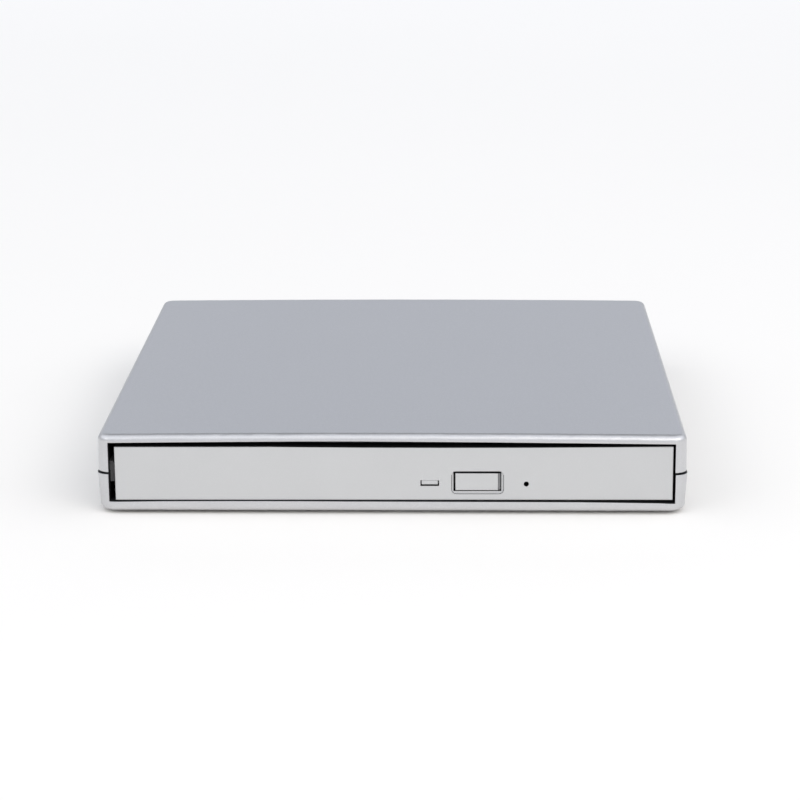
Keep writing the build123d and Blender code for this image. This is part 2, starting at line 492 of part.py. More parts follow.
# ---- main board with its chips, under the platform
mb = bx(29.0, 56.6, 29.0, 116.8, 2.1, 2.9) + bx(-30.0, 30.0, 97.0, 116.8, 2.1, 2.9) + bx(-54.0, -29.0, 97.0, 102.5, 2.1, 2.9)
for x, y in PEGS:
    mb -= cz(x, y, 2, 3, 0.8)
mb -= bx(30.0, 34.0, 29.0, 31.0, 2, 3)
keep("main_board", drive(mb))
mchips = [
    bx(34.0, 48.0, 60.0, 74.0, 2.9, 4.1), bx(36.0, 46.0, 84.0, 91.0, 2.9, 3.9), bx(36.0, 42.0, 42.0, 48.0, 2.9, 3.8),
    bx(-12.0, -2.0, 102.0, 110.0, 2.9, 3.9), bx(8.0, 20.0, 102.0, 112.0, 2.9, 4.0), bx(46.0, 50.0, 44.0, 46.0, 2.9, 3.6),
    bx(30.5, 33.0, 92.0, 106.0, 2.9, 4.6), cz(52.0, 98.0, 2.9, 5.4, 2.0), bx(-26.0, -18.0, 99.5, 103.0, 2.9, 4.4),
]
keep("main_board_chips", drive(group(*mchips)))
keep("board_screws", drive(group(*[cz(x, y, 2.1, 5.6, 0.68) + cz(x, y, 1.8, 2.1, 1.5) for x, y in PEGS])))

# ---- latch: coil, hook and its spring, on the tray
HOOK_P = (45.0, 13.0)
HOOK_SWING = 12.0
coilbox = bx(49.5, 56.0, 17.0, 27.0, 2.2, 6.6) + cy(52.8, 4.4, 15.4, 17.1, 1.3)
keep("latch_coil", drive(coilbox))
hk = cz(HOOK_P[0], HOOK_P[1], 2.0, 3.0, 2.4)
hk += poly_prism([(43.2, 12.2), (46.6, 14.8), (40.9, 21.2), (40.9, 26.0), (38.2, 26.0), (38.2, 20.4)], 2.0, 2.8)
hk += bx(35.4, 39.0, 23.7, 26.0, 0.72, 2.8)
hk += bx(30.9, 44.0, 10.4, 12.6, 2.0, 2.8)
hk += bx(29.4, 31.6, 8.6, 12.6, 2.0, 4.6)
hk -= cz(HOOK_P[0], HOOK_P[1], 1.5, 3.5, 0.93)
hook = Pos(HOOK_P[0], HOOK_P[1], 0) * Rot(0, 0, -HOOK_SWING) * Pos(-HOOK_P[0], -HOOK_P[1], 0) * hk
keep("latch_hook", drive(hook))
hp = cz(HOOK_P[0], HOOK_P[1], 1.85, 7.05, 0.9) + cz(HOOK_P[0], HOOK_P[1], 4.6, 7.05, 2.0)
keep("hook_pivot", drive(hp))
sp = cz(HOOK_P[0], HOOK_P[1], 3.15, 4.45, 2.0) - cz(HOOK_P[0], HOOK_P[1], 3.0, 4.6, 1.45)
sp += bx(HOOK_P[0] + 1.4, HOOK_P[0] + 1.9, HOOK_P[1] - 5.5, HOOK_P[1], 3.2, 3.7)
sp += bx(HOOK_P[0] + 1.2, HOOK_P[0] + 6.0, HOOK_P[1] + 1.0, HOOK_P[1] + 1.5, 3.9, 4.4)
keep("hook_spring", drive(sp))

# ---- traverse: plate, rods, motors
plate = bx(-19.6, 12.7, -13.0, 13.0, 2.4, 3.0)
plate += bx(6.0, 68.6, -16.8, -11.6, 2.4, 3.0)
plate += bx(6.0, 68.6, 11.6, 21.4, 2.4, 3.0)
plate += bx(66.6, 68.6, -14.5, 14.5, 2.4, 3.0)
plate += bx(0.0, 14.0, 12.0, 22.0, 2.4, 3.0)
plate += bx(41.0, 47.0, -23.5, -16.0, 2.4, 3.0)
plate += bx(41.0, 47.0, 20.0, 27.2, 2.4, 3.0)
plate -= poly_prism([(70.0, -10.6), (70.0, -18.0), (62.6, -18.0)], 2, 8)
plate -= poly_prism([(70.0, 14.0), (70.0, 23.0), (61.0, 23.0)], 2, 8)
for u0, u1 in ((7.6, 10.0), (66.0, 68.2)):
    for sv in (-1, 1):
        plate += bx(u0, u1, *sorted((sv * 11.8, sv * 14.3)), 2.9, 6.2)
plate += bx(59.0, 60.8, 16.6, 20.6, 2.9, 6.2)
plate -= poly_prism([(70.0, -10.6), (70.0, -18.0), (62.6, -18.0)], 2, 8)
plate -= cx(ROD_V, ROD_Z, 5.0, 70.0, ROD_R + 0.01)
plate -= cx(-ROD_V, ROD_Z, 5.0, 70.0, ROD_R + 0.01)
plate -= cx(SCREW_V, SCREW_Z, 58.0, 66.0, 0.62)
for u, v in MOUNTS:
    plate -= cz(u, v, 2, 4, 1.75)
plate -= cz(0, 0, 2, 4, 3.0)
keep("traverse_plate", drive(TRAVERSE * plate))
keep("guide_rods", drive(TRAVERSE * group(cx(ROD_V, ROD_Z, 7.7, 68.0, ROD_R), cx(-ROD_V, ROD_Z, 7.7, 66.8, ROD_R))))
bushes, bscrews = [], []
for u, v in MOUNTS:
    b_ = cz(u, v, 2.1, 3.4, 1.72) + cz(u, v, 2.1, 2.38, 2.5) + cz(u, v, 3.02, 3.42, 2.5)
    b_ -= cz(u, v, 2, 4, 0.85)
    bushes.append(b_)
    bscrews.append(cz(u, v, 1.82, 2.08, 1.9) + cz(u, v, 2.0, 6.0, 0.73))
keep("damper_bushes", drive(TRAVERSE * group(*bushes)))
keep("damper_screws", drive(TRAVERSE * group(*bscrews)))

stator = cz(0, 0, 3.0, 3.3, 12.2) + cz(0, 0, 2.4, 7.2, 2.6)
core = cz(0, 0, 3.9, 6.5, 4.2)
for i in range(9):
    core += Rot(0, 0, i * 40) * (bx(3.8, 9.4, -0.8, 0.8, 4.3, 6.1) + bx(4.6, 8.6, -1.35, 1.35, 4.0, 6.5))
    core += Rot(0, 0, i * 40) * (bx(9.2, 10.5, -2.6, 2.6, 4.3, 6.1))
core &= cz(0, 0, 3, 8, 10.7)
stator += core
stator -= cz(0, 0, 2.0, 8.0, 1.02)
keep("spindle_stator", drive(TRAVERSE * stator))
# ---- rotating spindle
rotor = cz(0, 0, 3.6, 8.2, 11.6) - cz(0, 0, 3.0, 7.7, 11.1)
rotor += cz(0, 0, 8.1, 8.9, 14.5)
rotor += cz(0, 0, 7.3, 7.8, 2.2)
rotor -= cz(0, 0, 7.0, 9.0, 1.0)
rotor -= cz(0, 0, 8.7, 9.5, 14.1) - cz(0, 0, 8, 10, 11.7)
keep("spindle_rotor", drive(TRAVERSE * rotor))
keep("spindle_shaft", drive(TRAVERSE * cz(0, 0, 2.5, 9.6, 1.0)))
keep("turntable_pad", drive(TRAVERSE * (cz(0, 0, 8.7, DISC_Z, 14.05) - cz(0, 0, 8, 10, 11.75))))
hub = cz(0, 0, 8.9, 10.75, HUB_R)
hub += cone(0, 0, 10.7, 11.7, HUB_R - 0.05, HUB_R - 1.3)
hub = hub + cz(0, 0, 8.9, 9.05, 9.2)
hub -= cz(0, 0, 8.0, 9.62, 1.0)
hub -= cz(0, 0, 10.9, 12.0, 3.1)
CLAW_W = 2.4
for i in range(3):
    hub -= Rot(0, 0, 60 + i * 120) * bx(3.9, 9.0, -CLAW_W / 2 - 0.1, CLAW_W / 2 + 0.1, 10.0, 11.05)
keep("centre_hub", drive(TRAVERSE * hub))
CLAW_OUT = 0.22
for i in range(3):
    claw = bx(4.7, HUB_R - 0.1, -CLAW_W / 2, CLAW_W / 2, 10.08, 10.95)
    nose = bx(HUB_R - 0.8, HUB_R + CLAW_OUT, -CLAW_W / 2, CLAW_W / 2, 10.12, 10.8)
    nose = chamfer(nose.faces().sort_by(Axis.X)[-1].edges().filter_by(Axis.Y), 0.24)
    nose &= cz(0, 0, 10, 11, HUB_R + 0.21)
    claw += nose
    keep(f"hub_claw_{i + 1}", drive(TRAVERSE * (Rot(0, 0, 60 + i * 120) * claw)))

# ---- stepper motor and lead screw
motor = cx(SCREW_V, SCREW_Z, 1.2, 11.4, 3.9) & bx(0, 20, 10, 30, 3.0, 6.8)
motor += bx(11.3, 12.0, 14.8, 22.4, 3.0, 6.8)
motor -= cx(SCREW_V, SCREW_Z, 6.0, 13.0, 1.5)
keep("stepper_motor", drive(TRAVERSE * motor))
ls = cx(SCREW_V, SCREW_Z, 6.3, 58.8, SCREW_R) + cx(SCREW_V, SCREW_Z, 58.7, 60.6, 0.58)
keep("lead_screw", drive(TRAVERSE * ls))

# ---- pickup
U0 = LENS_IN
pick = bx(13.2, 31.0, -11.2, 11.2, 2.0, 6.6)
pick += bx(13.2, 31.0, -15.5, 15.5, 3.2, 6.6)
pick -= cz(0, 0, 1, 8, 12.4)
pick -= poly_prism([(31.2, -11.6), (31.2, -15.6), (27.2, -15.6)], 1, 8)
pick -= poly_prism([(31.2, 11.6), (31.2, 15.6), (27.2, 15.6)], 1, 8)
pick -= cx(ROD_V, ROD_Z, 10, 35, ROD_R + RUN)
pick -= cx(-ROD_V, ROD_Z, 10, 35, ROD_R + RUN)
pick -= bx(U0 - 5.6, U0 + 5.6, -7.6, 7.6, 4.1, 8.0)      # bay of the actuator
pick -= cz(U0, 0, 1, 8, 2.0)
keep("pickup_body", drive(TRAVERSE * pick))
pcov = bx(14.2, 30.0, -10.6, 10.6, 6.6, 6.78)
pcov -= cz(0, 0, 1, 8, 12.6)
pcov -= bx(U0 - 4.9, U0 + 4.9, -6.6, 6.6, 6, 8)
keep("pickup_cover", drive(TRAVERSE * pcov))
keep("actuator_magnets", drive(TRAVERSE * group(
    bx(U0 - 2.6, U0 + 2.6, 5.6, 7.4, 4.15, 6.5), bx(U0 - 2.6, U0 + 2.6, -7.4, -5.6, 4.15, 6.5))))
foll = bx(U0 - 8.0, U0, 15.5, 21.0, 3.15, 6.25)
foll -= cx(SCREW_V, SCREW_Z, 10, 40, SCREW_R + 0.05)
keep("rack_follower", drive(TRAVERSE * foll))
# ---- focusing lens
lh = bx(U0 - 4.4, U0 + 4.4, -4.9, 4.9, 4.9, 6.5)
lh = fillet(lh.edges().filter_by(Axis.Z), 1.0)
lh += cz(U0, 0, 6.4, 7.5, 2.35)
lh -= cz(U0, 0, 4, 8, 2.02)
keep("lens_holder", drive(TRAVERSE * lh))
ball = Pos(U0, 0, 5.1) * Sphere(3.0)
lens = cz(U0, 0, 6.4, 8.4, 2.0) & ball
keep("objective_lens", drive(TRAVERSE * lens))

# ------------------------------------------------------------------ write
for name, shape in NODES.items():
    if isinstance(shape, (list, tuple)):
        shape = Compound(children=list(shape))
    export_step(shape, f"parts/{name}.step")
print(len(NODES), "nodes")
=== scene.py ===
import math

import bmesh
import bpy
from mathutils import Matrix, Vector


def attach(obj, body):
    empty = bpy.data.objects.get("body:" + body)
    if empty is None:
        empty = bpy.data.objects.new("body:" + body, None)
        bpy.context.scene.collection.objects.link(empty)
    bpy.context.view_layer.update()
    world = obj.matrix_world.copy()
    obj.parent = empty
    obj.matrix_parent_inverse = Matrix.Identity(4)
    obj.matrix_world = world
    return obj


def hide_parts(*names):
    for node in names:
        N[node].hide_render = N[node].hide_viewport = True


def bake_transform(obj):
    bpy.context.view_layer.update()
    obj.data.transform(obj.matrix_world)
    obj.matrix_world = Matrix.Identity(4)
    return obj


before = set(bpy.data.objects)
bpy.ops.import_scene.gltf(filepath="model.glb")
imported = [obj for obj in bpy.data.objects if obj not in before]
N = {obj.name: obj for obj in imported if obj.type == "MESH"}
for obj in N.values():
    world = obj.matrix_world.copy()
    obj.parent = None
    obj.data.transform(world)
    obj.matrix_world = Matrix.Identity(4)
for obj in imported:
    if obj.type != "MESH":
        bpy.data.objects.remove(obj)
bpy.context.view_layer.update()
scene = bpy.context.scene
MM = 0.001


# ------------------------------------------------------------------ camera
def camera():
    yaw, pitch, roll = -0.0231, 0.2640, -0.0049
    fwd = Vector((math.sin(yaw) * math.cos(pitch), math.cos(yaw) * math.cos(pitch), -math.sin(pitch)))
    right = Vector((math.cos(yaw), -math.sin(yaw), 0))
    up = right.cross(fwd)
    r2 = math.cos(roll) * right + math.sin(roll) * up
    u2 = -math.sin(roll) * right + math.cos(roll) * up
    data = bpy.data.cameras.new("camera")
    data.sensor_width = 36.0
    data.lens = 2519.5 * 36.0 / 800.0
    data.clip_start, data.clip_end = 0.05, 20.0
    cam = bpy.data.objects.new("camera", data)
    scene.collection.objects.link(cam)
    at = Vector((14.79, -622.27, 176.76)) * MM
    cam.matrix_world = Matrix((
        (r2.x, u2.x, -fwd.x, at.x),
        (r2.y, u2.y, -fwd.y, at.y),
        (r2.z, u2.z, -fwd.z, at.z),
        (0, 0, 0, 1),
    ))
    scene.camera = cam


camera()
scene.view_settings.view_transform = "Standard"
scene.view_settings.look = "None"
scene.view_settings.exposure = 0.0
scene.view_settings.gamma = 1.0


# --------------------------------------------------------------- materials
class Mat:
    """A principled material with procedural layers in the object's own coordinates, in metres."""

    def __init__(self, name, base, rough, metallic=0.0, specular=0.5, coat=0.0, coat_rough=0.1, ior=1.5, sheen=0.0,
                 transmission=0.0, alpha=1.0):
        self.m = bpy.data.materials.new(name)
        self.m.use_nodes = True
        self.t = self.m.node_tree
        self.p = self.t.nodes["Principled BSDF"]
        i = self.p.inputs
        i["Base Color"].default_value = (*base, 1)
        i["Roughness"].default_value = rough
        i["Metallic"].default_value = metallic
        i["Specular IOR Level"].default_value = specular
        i["IOR"].default_value = ior
        i["Coat Weight"].default_value = coat
        i["Coat Roughness"].default_value = coat_rough
        i["Sheen Weight"].default_value = sheen
        i["Transmission Weight"].default_value = transmission
        i["Alpha"].default_value = alpha
        self.base, self.rough = base, rough
        self.m.diffuse_color = (*base, 1)
        self.coords = self.n("ShaderNodeTexCoord").outputs["Object"]
        self.colour = None
        self.height = None

    def n(self, kind, **props):
        node = self.t.nodes.new(kind)
        for k, v in props.items():
            setattr(node, k, v)
        return node

    def link(self, a, b):
        self.t.links.new(a, b)

    def stretched(self, scale):
        m = self.n("ShaderNodeMapping")
        m.inputs["Scale"].default_value = scale
        self.link(self.coords, m.inputs["Vector"])
        return m.outputs["Vector"]

    def noise(self, scale, detail=3.0, rough=0.55, stretch=None):
        x = self.n("ShaderNodeTexNoise")
        x.inputs["Scale"].default_value = scale
        x.inputs["Detail"].default_value = detail
        x.inputs["Roughness"].default_value = rough
        self.link(self.stretched(stretch) if stretch else self.coords, x.inputs["Vector"])
        return x.outputs["Fac"]

    def cells(self, scale, feature="F1", stretch=None):
        x = self.n("ShaderNodeTexVoronoi", feature=feature)
        x.inputs["Scale"].default_value = scale
        self.link(self.stretched(stretch) if stretch else self.coords, x.inputs["Vector"])
        return x

    def ramp(self, fac, stops):
        r = self.n("ShaderNodeValToRGB")
        e = r.color_ramp.elements
        while len(e) < len(stops):
            e.new(0.5)
        for k, (at, c) in zip(e, stops):
            k.position = at
            k.color = (*c, 1) if len(c) == 3 else c
        self.link(fac, r.inputs["Fac"])
        return r.outputs["Color"]

    def tint(self, fac, low, high, a=0.3, b=0.7):
        """The colour goes from low to high times the base as fac goes from a to b."""
        c = self.ramp(fac, [(a, tuple(x * low for x in self.base)), (b, tuple(min(1.0, x * high) for x in self.base))])
        if self.colour is None:
            self.colour = c
        else:
            raise RuntimeError("one tint first, then layer()")
        return self

    def layer(self, fac, rgb, amount=1.0, a=0.4, b=0.6, blend="MIX"):
        """Lays rgb over the colour so far where fac is high."""
        r = self.n("ShaderNodeMapRange")
        r.inputs["From Min"].default_value = a
        r.inputs["From Max"].default_value = b
        r.inputs["To Max"].default_value = amount
        self.link(fac, r.inputs["Value"])
        mix = self.n("ShaderNodeMix", data_type="RGBA", blend_type=blend)
        self.link(r.outputs["Result"], mix.inputs["Factor"])
        if self.colour is None:
            mix.inputs["A"].default_value = (*self.base, 1)
        else:
            self.link(self.colour, mix.inputs["A"])
        mix.inputs["B"].default_value = (*rgb, 1)
        self.colour = mix.outputs["Result"]
        return self

    def roughness(self, fac, low, high, a=0.3, b=0.7):
        r = self.n("ShaderNodeMapRange")
        for k, v in (("From Min", a), ("From Max", b), ("To Min", low), ("To Max", high)):
            r.inputs[k].default_value = v
        self.link(fac, r.inputs["Value"])
        self.link(r.outputs["Result"], self.p.inputs["Roughness"])
        return self

    def bump(self, fac, height, strength=1.0):
        """Bumps of that height, in metres."""
        b = self.n("ShaderNodeBump")
        b.inputs["Distance"].default_value = height
        b.inputs["Strength"].default_value = strength
        self.link(fac, b.inputs["Height"])
        if self.height is not None:
            self.link(self.height, b.inputs["Normal"])
        self.height = b.outputs["Normal"]
        return self

    def done(self):
        if self.colour is not None:
            self.link(self.colour, self.p.inputs["Base Color"])
        if self.height is not None:
            self.link(self.height, self.p.inputs["Normal"])
        return self.m


def casing_paint():
    """Silver paint with fine aluminium flake under a satin clear coat."""
    k = Mat("casing_paint", (0.600, 0.602, 0.613), 0.37, metallic=0.85, specular=0.5, coat=0.15, coat_rough=0.2)
    flake = k.cells(5200)
    grain = k.n("ShaderNodeSeparateColor")
    k.link(flake.outputs["Color"], grain.inputs["Color"])
    k.tint(k.noise(22, 2, 0.5), 0.995, 1.005)
    k.layer(grain.outputs["Red"], (0.86, 0.865, 0.88), 0.14, 0.80, 1.0)
    k.layer(grain.outputs["Green"], (0.34, 0.343, 0.35), 0.10, 0.85, 1.0)
    k.roughness(k.noise(1400, 2, 0.5), 0.35, 0.39)
    k.bump(k.noise(700, 2, 0.5), 1.2e-6)
    k.bump(grain.outputs["Blue"], 1.0e-6, 0.5)
    return k.done()


def moulded(name, base, rough=0.5, specular=0.4, spark=3200, height=6e-6, spread=0.03, coat=0.0):
    """Injection-moulded plastic from a spark-eroded tool."""
    k = Mat(name, base, rough, specular=specular, coat=coat, coat_rough=0.15)
    fine = k.noise(spark, 3, 0.6)
    k.tint(k.noise(60, 3, 0.55), 1 - spread, 1 + spread)
    k.layer(fine, tuple(min(1, x * 1.10 + 0.004) for x in base), 0.35, 0.52, 0.72)
    k.roughness(k.noise(180, 3, 0.6), rough - 0.05, rough + 0.05)
    k.bump(fine, height)
    k.bump(k.noise(260, 2, 0.5), 3e-6, 0.5)
    return k.done()


def sheet_steel(name, base=(0.60, 0.61, 0.62), rough=0.34, along=(1, 60, 1)):
    """Plated sheet, with rolling marks along one way and a cloudy plating."""
    k = Mat(name, base, rough, metallic=1.0)
    rolled = k.noise(40, 4, 0.65, stretch=along)
    cloud = k.noise(90, 4, 0.6)
    k.tint(cloud, 0.86, 1.06)
    k.layer(rolled, tuple(x * 1.15 for x in base), 0.30, 0.5, 0.75)
    k.layer(k.cells(260).outputs["Distance"], tuple(x * 0.80 for x in base), 0.22, 0.35, 0.7)
    k.roughness(cloud, rough - 0.08, rough + 0.10)
    k.bump(rolled, 1.5e-6)
    return k.done()


def turned_steel(name, base=(0.66, 0.67, 0.68), rough=0.2):
    k = Mat(name, base, rough, metallic=1.0)
    fine = k.noise(900, 2, 0.5, stretch=(1, 1, 14))
    k.tint(k.noise(140, 2, 0.5), 0.93, 1.04)
    k.roughness(fine, rough - 0.05, rough + 0.08)
    k.bump(fine, 1.0e-6)
    return k.done()


def rubber(name, base=(0.028, 0.028, 0.030)):
    k = Mat(name, base, 0.78, specular=0.25, sheen=0.15)
    fine = k.noise(2600, 4, 0.65)
    k.tint(k.noise(300, 3, 0.5), 0.85, 1.25)
    k.layer(k.noise(1100, 5, 0.7), (0.075, 0.075, 0.072), 0.35, 0.58, 0.75)
    k.roughness(fine, 0.70, 0.86)
    k.bump(fine, 9e-6)
    return k.done()


def foam(name):
    k = Mat(name, (0.045, 0.045, 0.048), 0.92, specular=0.15)
    pores = k.cells(1500)
    k.tint(k.noise(500, 3, 0.6), 0.8, 1.2)
    k.layer(pores.outputs["Distance"], (0.012, 0.012, 0.013), 0.6, 0.05, 0.28)
    k.bump(pores.outputs["Distance"], 4e-5)
    return k.done()


def circuit(name):
    """Green solder mask over copper tracks, with tinned pads."""
    k = Mat(name, (0.012, 0.110, 0.050), 0.30, specular=0.5, coat=0.35, coat_rough=0.12)
    k.tint(k.noise(30, 2, 0.5), 0.90, 1.10)
    a = k.cells(420, "DISTANCE_TO_EDGE", stretch=(1, 0.12, 1))
    b = k.cells(360, "DISTANCE_TO_EDGE", stretch=(0.12, 1, 1))
    k.layer(a.outputs["Distance"], (0.030, 0.200, 0.085), 0.8, 0.10, 0.04)
    k.layer(b.outputs["Distance"], (0.026, 0.180, 0.078), 0.7, 0.08, 0.03)
    pads = k.cells(520)
    k.layer(pads.outputs["Distance"], (0.62, 0.62, 0.60), 0.85, 0.13, 0.10)
    k.bump(a.outputs["Distance"], 1.2e-5, 0.5)
    return k.done()


def chips(name):
    k = Mat(name, (0.022, 0.022, 0.025), 0.55, specular=0.35)
    k.tint(k.noise(1400, 3, 0.6), 0.75, 1.4)
    k.layer(k.noise(160, 2, 0.5), (0.040, 0.040, 0.044), 0.5, 0.5, 0.7)
    k.bump(k.noise(3000, 2, 0.5), 5e-6)
    return k.done()


def lens(name):
    k = Mat(name, (0.30, 0.36, 0.72), 0.04, specular=0.8, coat=1.0, coat_rough=0.02, ior=1.6, transmission=0.35)
    k.tint(k.noise(400, 1, 0.5), 0.9, 1.15)
    k.layer(k.noise(250, 1, 0.5), (0.55, 0.40, 0.85), 0.35, 0.45, 0.6)
    return k.done()


def windings(name):
    k = Mat(name, (0.55, 0.27, 0.09), 0.30, metallic=0.9)
    w = k.n("ShaderNodeTexWave", wave_type="BANDS", bands_direction="Z")
    w.inputs["Scale"].default_value = 1400
    k.link(k.coords, w.inputs["Vector"])
    k.tint(w.outputs["Fac"], 0.55, 1.15, 0.1, 0.9)
    k.roughness(k.noise(500), 0.25, 0.40)
    k.bump(w.outputs["Fac"], 3e-5)
    return k.done()


def ribbon(name):
    """White film with dark printed conductors along it."""
    k = Mat(name, (0.72, 0.70, 0.63), 0.35, specular=0.45, coat=0.2, coat_rough=0.2)
    w = k.n("ShaderNodeTexWave", wave_type="BANDS", bands_direction="X")
    w.inputs["Scale"].default_value = 310
    k.link(k.coords, w.inputs["Vector"])
    k.tint(k.noise(80, 2, 0.5), 0.94, 1.05)
    k.layer(w.outputs["Fac"], (0.34, 0.33, 0.32), 0.75, 0.45, 0.75)
    k.bump(w.outputs["Fac"], 1.5e-5)
    return k.done()


M = {
    "paint": casing_paint(),
    "inside": moulded("casing_inside", (0.020, 0.020, 0.022), 0.60, 0.30, 1800, 1e-5, 0.12),
    "bezel": moulded("bezel_plastic", (0.533, 0.536, 0.536), 0.56, 0.32, 3600, 5e-6, 0.012),
    "light": moulded("light_guide", (0.520, 0.526, 0.528), 0.30, 0.45, 900, 1.5e-6, 0.015, coat=0.2),
    "black": moulded("black_plastic", (0.020, 0.020, 0.021), 0.50, 0.40, 2200, 1.2e-5, 0.10),
    # raw grey plastic, its tone darkened as a painted shade for pieces that sit in the shadow of the gaps
    "grey_plastic_and_shade": moulded("casing_plastic_and_shade", (0.21, 0.21, 0.215), 0.55, 0.30, 1800, 6e-6, 0.03),
    "natural": moulded("guide_plastic", (0.56, 0.55, 0.50), 0.42, 0.45, 1200, 4e-6, 0.03),
    "white": moulded("white_plastic", (0.66, 0.66, 0.63), 0.36, 0.50, 1400, 3e-6, 0.02, coat=0.15),
    "grey": moulded("dark_grey_plastic", (0.085, 0.086, 0.090), 0.52, 0.35, 2400, 1e-5, 0.06),
    "steel": sheet_steel("plated_steel"),
    "dark_steel": sheet_steel("dark_steel", (0.24, 0.245, 0.25), 0.42),
    "cover": moulded("black_cover", (0.016, 0.016, 0.018), 0.36, 0.50, 2600, 8e-6, 0.10, coat=0.2),
    "ground": turned_steel("ground_steel"),
    "rotor": turned_steel("rotor_steel", (0.50, 0.51, 0.52), 0.28),
    "screws": turned_steel("fasteners", (0.30, 0.30, 0.31), 0.34),
    "spring": turned_steel("spring_steel", (0.42, 0.42, 0.43), 0.30),
    "magnet": turned_steel("magnets", (0.52, 0.52, 0.54), 0.18),
    "alloy": sheet_steel("cast_alloy", (0.46, 0.47, 0.48), 0.48, along=(1, 1, 1)),
    "rubber": rubber("rubber"),
    "foam": foam("foam"),
    "pcb": circuit("circuit_board"),
    "chips": chips("chips"),
    "copper": windings("motor_core"),
    "lens": lens("lens_glass"),
    "ribbon": ribbon("ribbon"),
}
USE = {
    "paint": "top_shell bottom_shell",
    "bezel": "front_bezel eject_button",
    "light": "light_pipe",
    "black": "tray_frame drive_socket connector_plug power_jack usb_socket_insert push_switch latch_hook latch_coil",
    "grey": "rack_follower",
    "natural": "rail_guides",
    "white": "centre_hub hub_claw_1 hub_claw_2 hub_claw_3 eject_plunger lens_holder status_led",
    "steel": "drive_pan left_rail right_rail traverse_plate tray_underplate usb_socket_shell stepper_motor pickup_cover",
    "dark_steel": "drive_lid",
    "cover": "optics_cover",
    "ground": "guide_rods spindle_shaft lead_screw hook_pivot",
    "rotor": "spindle_rotor",
    "screws": "casing_screws lid_screws cover_screws underplate_screws board_screws damper_screws",
    "spring": "eject_spring hook_spring",
    "magnet": "actuator_magnets",
    "alloy": "pickup_body",
    "rubber": "rubber_feet damper_bushes turntable_pad",
    "foam": "foam_strips",
    "pcb": "bridge_board connector_board main_board front_board spindle_stator",
    "chips": "bridge_chips main_board_chips",
    "lens": "objective_lens",
    "ribbon": "flat_cable",
}
for key, names in USE.items():
    for n in names.split():
        N[n].data.materials.clear()
        N[n].data.materials.append(M[key])
missing = [n for n in N if not N[n].data.materials or N[n].data.materials[0] not in M.values()]
if missing:
    raise RuntimeError(f"no material on {missing}")


def shells(me):
    """The mesh's connected surfaces, one for each CAD face, as (polygon indices, vertex positions in millimetres)."""
    parent = list(range(len(me.vertices)))

    def root(i):
        while parent[i] != i:
            parent[i] = parent[parent[i]]
            i = parent[i]
        return i

    for f in me.polygons:
        vs = list(f.vertices)
        r0 = root(vs[0])
        for v in vs[1:]:
            parent[root(v)] = r0
    faces, verts = {}, {}
    for f in me.polygons:
        faces.setdefault(root(f.vertices[0]), []).append(f.index)
    for v in me.vertices:
        verts.setdefault(root(v.index), []).append(v.co * 1000)
    return [(faces[k], verts[k]) for k in faces]


def second(node, key, test):
    """CAD faces that pass test(their points in millimetres, their mean normal) take another material."""
    me = N[node].data
    me.materials.append(M[key])
    k = len(me.materials) - 1
    for polys, pts in shells(me):
        n = Vector((0, 0, 0))
        for i in polys:
            n += me.polygons[i].normal * me.polygons[i].area
        if test(pts, n.normalized() if n.length else n):
            for i in polys:
                me.polygons[i].material_index = k


def outside(p, hx, hy, r):
    """Distance of a point outside a rounded rectangle, seen from above."""
    qx, qy = abs(p.x) - (hx - r), abs(p.y) - (hy - r)
    return math.hypot(max(qx, 0), max(qy, 0)) + min(max(qx, qy), 0) - r


def top_is_bare(pts, n):
    painted = all(p.z > 17.75 or outside(p, 66.4, 69.0, 3.0) > 0 for p in pts) and max(p.z for p in pts) > 11.5
    return not painted


def bottom_is_bare(pts, n):
    painted = all(p.z < 2.35 or outside(p, 66.2, 69.0, 5.0) > 0 for p in pts)
    return not painted or max(p.z for p in pts) > 9.7 or min(p.z for p in pts) > 9.6


second("top_shell", "inside", top_is_bare)
second("bottom_shell", "inside", bottom_is_bare)
# the clip inside the left of the opening: grey plastic, darkened as a painted shade
second("bottom_shell", "grey_plastic_and_shade", lambda pts, n: all(-65.4 < p.x < -64.0 and -66.4 < p.y < -60.1 and p.z > 6.8 for p in pts))
# the bezel and the button are painted on the front only, over black
second("front_bezel", "black", lambda pts, n: max(p.y for p in pts) > -69.0 or -69.4 < min(p.y for p in pts) < -69.16)
second("eject_button", "black", lambda pts, n: max(p.y for p in pts) > -68.9)
# the button's shoulder beside its hole: dark grey as a painted shade in the gap
second("eject_button", "grey_plastic_and_shade", lambda pts, n: min(p.y for p in pts) > -69.2 and max(p.y for p in pts) < -69.0)
AXIS = Vector((0.385, -3.5, 0))
second("spindle_stator", "copper", lambda pts, n: all(
    4.3 < (Vector((p.x, p.y, 0)) - AXIS).length < 9.4 and 7.4 < p.z < 10.1 for p in pts))
second("spindle_stator", "steel", lambda pts, n: all(
    9.0 < (Vector((p.x, p.y, 0)) - AXIS).length < 10.9 and 7.5 < p.z < 9.9 for p in pts))


# ------------------------------------------------------- softened edges
def mark_borders(me, angle):
    """Marks sharp edges for the bevel, only where two CAD faces meet and never inside one."""
    ids, around, count = {}, {}, {}
    pid = [ids.setdefault(tuple(round(c * 1e6) for c in v.co), len(ids)) for v in me.vertices]
    for f in me.polygons:
        corners = [me.vertices[i].co for i in f.vertices]
        longest = max((corners[i] - corners[i - 1]).length for i in range(len(corners)))
        flat = 2 * f.area < 4e-6 * longest      # too thin a triangle to have a direction
        for a, b in f.edge_keys:
            count[(a, b)] = count.get((a, b), 0) + 1
            around.setdefault(frozenset((pid[a], pid[b])), []).append(None if flat else f.normal.copy())
    marks = []
    for e in me.edges:
        n = around.get(frozenset((pid[e.vertices[0]], pid[e.vertices[1]])), [])
        border = count.get(e.key) == 1 and len(n) == 2 and None not in n
        marks.append(1.0 if border and n[0].angle(n[1], 0.0) > angle else 0.0)
    me.attributes.new("bevel_weight_edge", "FLOAT", "EDGE").data.foreach_set("value", marks)


